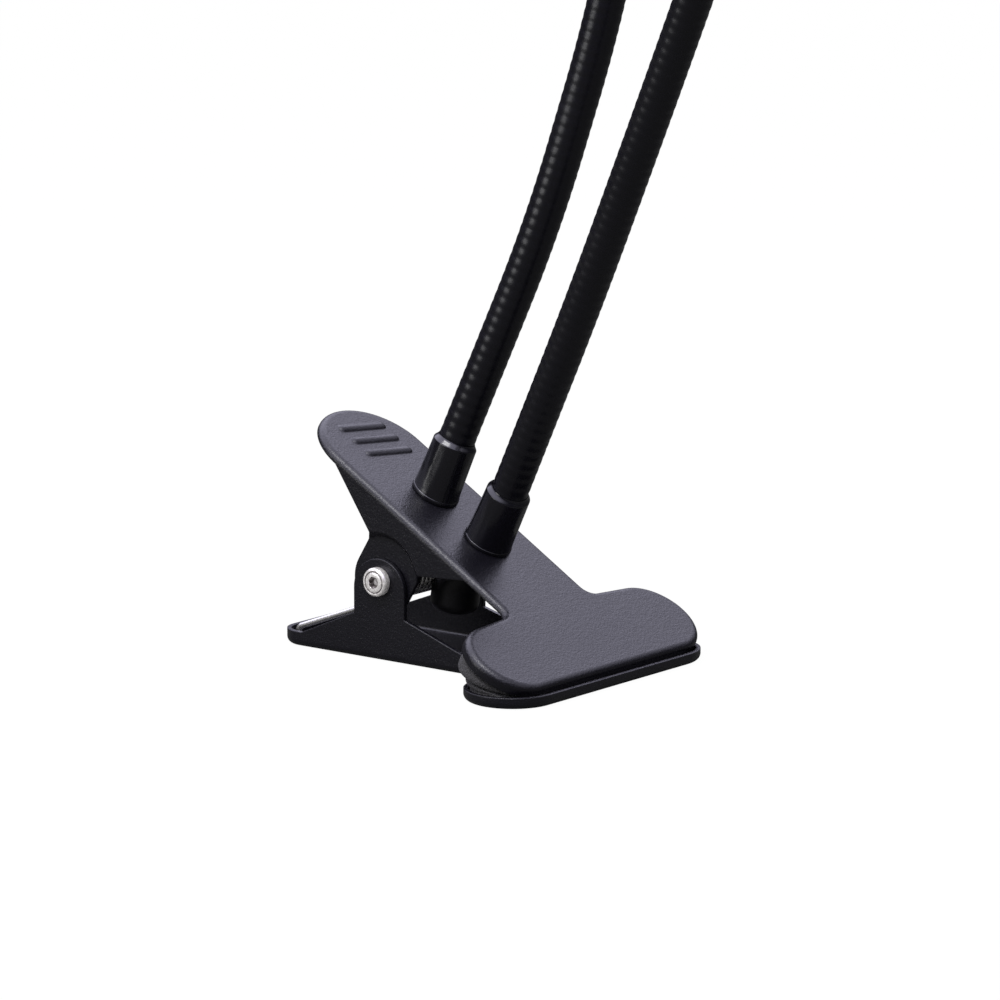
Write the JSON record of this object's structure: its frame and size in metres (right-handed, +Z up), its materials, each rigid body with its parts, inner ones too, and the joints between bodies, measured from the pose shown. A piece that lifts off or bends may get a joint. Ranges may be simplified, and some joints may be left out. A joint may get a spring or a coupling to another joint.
{
  "type": "clip on reading lamp",
  "caption": "Sprung sheet-metal clip with foam-lined wide jaws that carries two flexible arms, each ending in a small spot head.",
  "frame": {"origin": "underside of the lower jaw, straight below the hinge pin", "axes": "+X from the handles to the jaw, +Y along the hinge pin, +Z up, square to the lower plate"},
  "size_m": [0.286, 0.1843, 0.2707],
  "materials": {
    "clip_paint": "satin black paint",
    "foam": "matte foam",
    "spring_wire": "bright drawn wire",
    "plated_steel": "nickel plated",
    "wound_steel": "wound steel",
    "arm_sleeve": "glossy black",
    "soft_boot": "smooth black",
    "lead": "matte",
    "head_paint": "satin black",
    "lens": "clear",
    "reflector": "bright",
    "led_plate": "machined",
    "led_board": "white solder mask",
    "driver_board": "green solder mask",
    "switch": "matte",
    "button": "matte"
  },
  "bodies": {
    "lower_jaw": {"lower_jaw": "clip_paint", "lower_pad": "foam", "pivot_screw": "plated_steel", "pivot_nut": "plated_steel", "pivot_sleeve": "plated_steel", "torsion_spring": "spring_wire"},
    "upper_jaw": {"upper_jaw": "clip_paint", "upper_pad": "foam", "arm_studs": "plated_steel", "arm_nuts": "plated_steel", "wire_gland": "soft_boot", "link_lead": "lead", "left_boot": "soft_boot", "left_sleeve_1": "arm_sleeve", "left_core_1": "wound_steel", "right_boot": "soft_boot", "right_sleeve_1": "arm_sleeve", "right_core_1": "wound_steel"},
    "left_arm_2": {"left_sleeve_2": "arm_sleeve", "left_core_2": "wound_steel"},
    "left_arm_3": {"left_sleeve_3": "arm_sleeve", "left_core_3": "wound_steel"},
    "left_arm_4": {"left_sleeve_4": "arm_sleeve", "left_core_4": "wound_steel"},
    "left_head": {"left_sleeve_5": "arm_sleeve", "left_core_5": "wound_steel", "left_top_boot": "soft_boot", "left_housing": "head_paint", "left_bezel": "head_paint", "left_lens": "lens", "left_reflector": "reflector", "left_led_plate": "led_plate", "left_led_board": "led_board", "left_board_screws": "plated_steel", "left_driver_board": "driver_board", "left_switch": "switch", "left_head_lead": "lead"},
    "left_button": {"left_button": "button"},
    "right_arm_2": {"right_sleeve_2": "arm_sleeve", "right_core_2": "wound_steel"},
    "right_arm_3": {"right_sleeve_3": "arm_sleeve", "right_core_3": "wound_steel"},
    "right_arm_4": {"right_sleeve_4": "arm_sleeve", "right_core_4": "wound_steel"},
    "right_head": {"right_sleeve_5": "arm_sleeve", "right_core_5": "wound_steel", "right_top_boot": "soft_boot", "right_housing": "head_paint", "right_bezel": "head_paint", "right_lens": "lens", "right_reflector": "reflector", "right_led_plate": "led_plate", "right_led_board": "led_board", "right_board_screws": "plated_steel", "right_driver_board": "driver_board", "right_switch": "switch", "right_head_lead": "lead"},
    "right_button": {"right_button": "button"}
  },
  "joints": [
    {"name": "clip_hinge", "type": "hinge", "parent": "lower_jaw", "child": "upper_jaw", "pos_m": [0, 0, 0.0211], "axis": [0, -1, 0], "range_deg": [0, 45], "stiffness_Nm_per_rad": 0.2, "springref_deg": -171.89, "deforming": ["torsion_spring"]},
    {"name": "left_bend_1", "type": "hinge", "parent": "upper_jaw", "child": "left_arm_2", "pos_m": [0.02195, 0.00697, 0.08743], "axis": [-0.8301, -0.4049, 0.3834], "range_deg": [-10, 35]},
    {"name": "left_bend_2", "type": "hinge", "parent": "left_arm_2", "child": "left_arm_3", "pos_m": [0.04116, 0.01187, 0.14189], "axis": [-0.4257, 0.9039, 0.042], "range_deg": [-20, 30]},
    {"name": "left_bend_3", "type": "hinge", "parent": "left_arm_3", "child": "left_arm_4", "pos_m": [0.05498, 0.01765, 0.20609], "axis": [-0.8864, -0.4323, 0.1656], "range_deg": [-12, 35]},
    {"name": "left_bend_4", "type": "hinge", "parent": "left_arm_4", "child": "left_head", "pos_m": [0.08443, 0.03316, 0.25512], "axis": [-0.4433, 0.8962, -0.0173], "range_deg": [-25, 40]},
    {"name": "left_button_press", "type": "slide", "parent": "left_head", "child": "left_button", "axis": [-0.2777, -0.1355, -0.9511], "range_m": [0, 0.0008], "stiffness_N_per_m": 400, "springref_m": -0.0025},
    {"name": "right_bend_1", "type": "hinge", "parent": "upper_jaw", "child": "right_arm_2", "pos_m": [0.04477, -0.00313, 0.07408], "axis": [0.806, -0.3589, -0.4707], "range_deg": [-10, 35]},
    {"name": "right_bend_2", "type": "hinge", "parent": "right_arm_2", "child": "right_arm_3", "pos_m": [0.07133, -0.00877, 0.12533], "axis": [0.3813, 0.92, -0.0901], "range_deg": [-20, 30]},
    {"name": "right_bend_3", "type": "hinge", "parent": "right_arm_3", "child": "right_arm_4", "pos_m": [0.10053, -0.01524, 0.18416], "axis": [0.8194, -0.3648, -0.4422], "range_deg": [-12, 35]},
    {"name": "right_bend_4", "type": "hinge", "parent": "right_arm_4", "child": "right_head", "pos_m": [0.14204, -0.0286, 0.22566], "axis": [0.3824, 0.9199, -0.0865], "range_deg": [-25, 40]},
    {"name": "right_button_press", "type": "slide", "parent": "right_head", "child": "right_button", "axis": [-0.2518, 0.1121, -0.9613], "range_m": [0, 0.0008], "stiffness_N_per_m": 400, "springref_m": -0.0025}
  ]
}
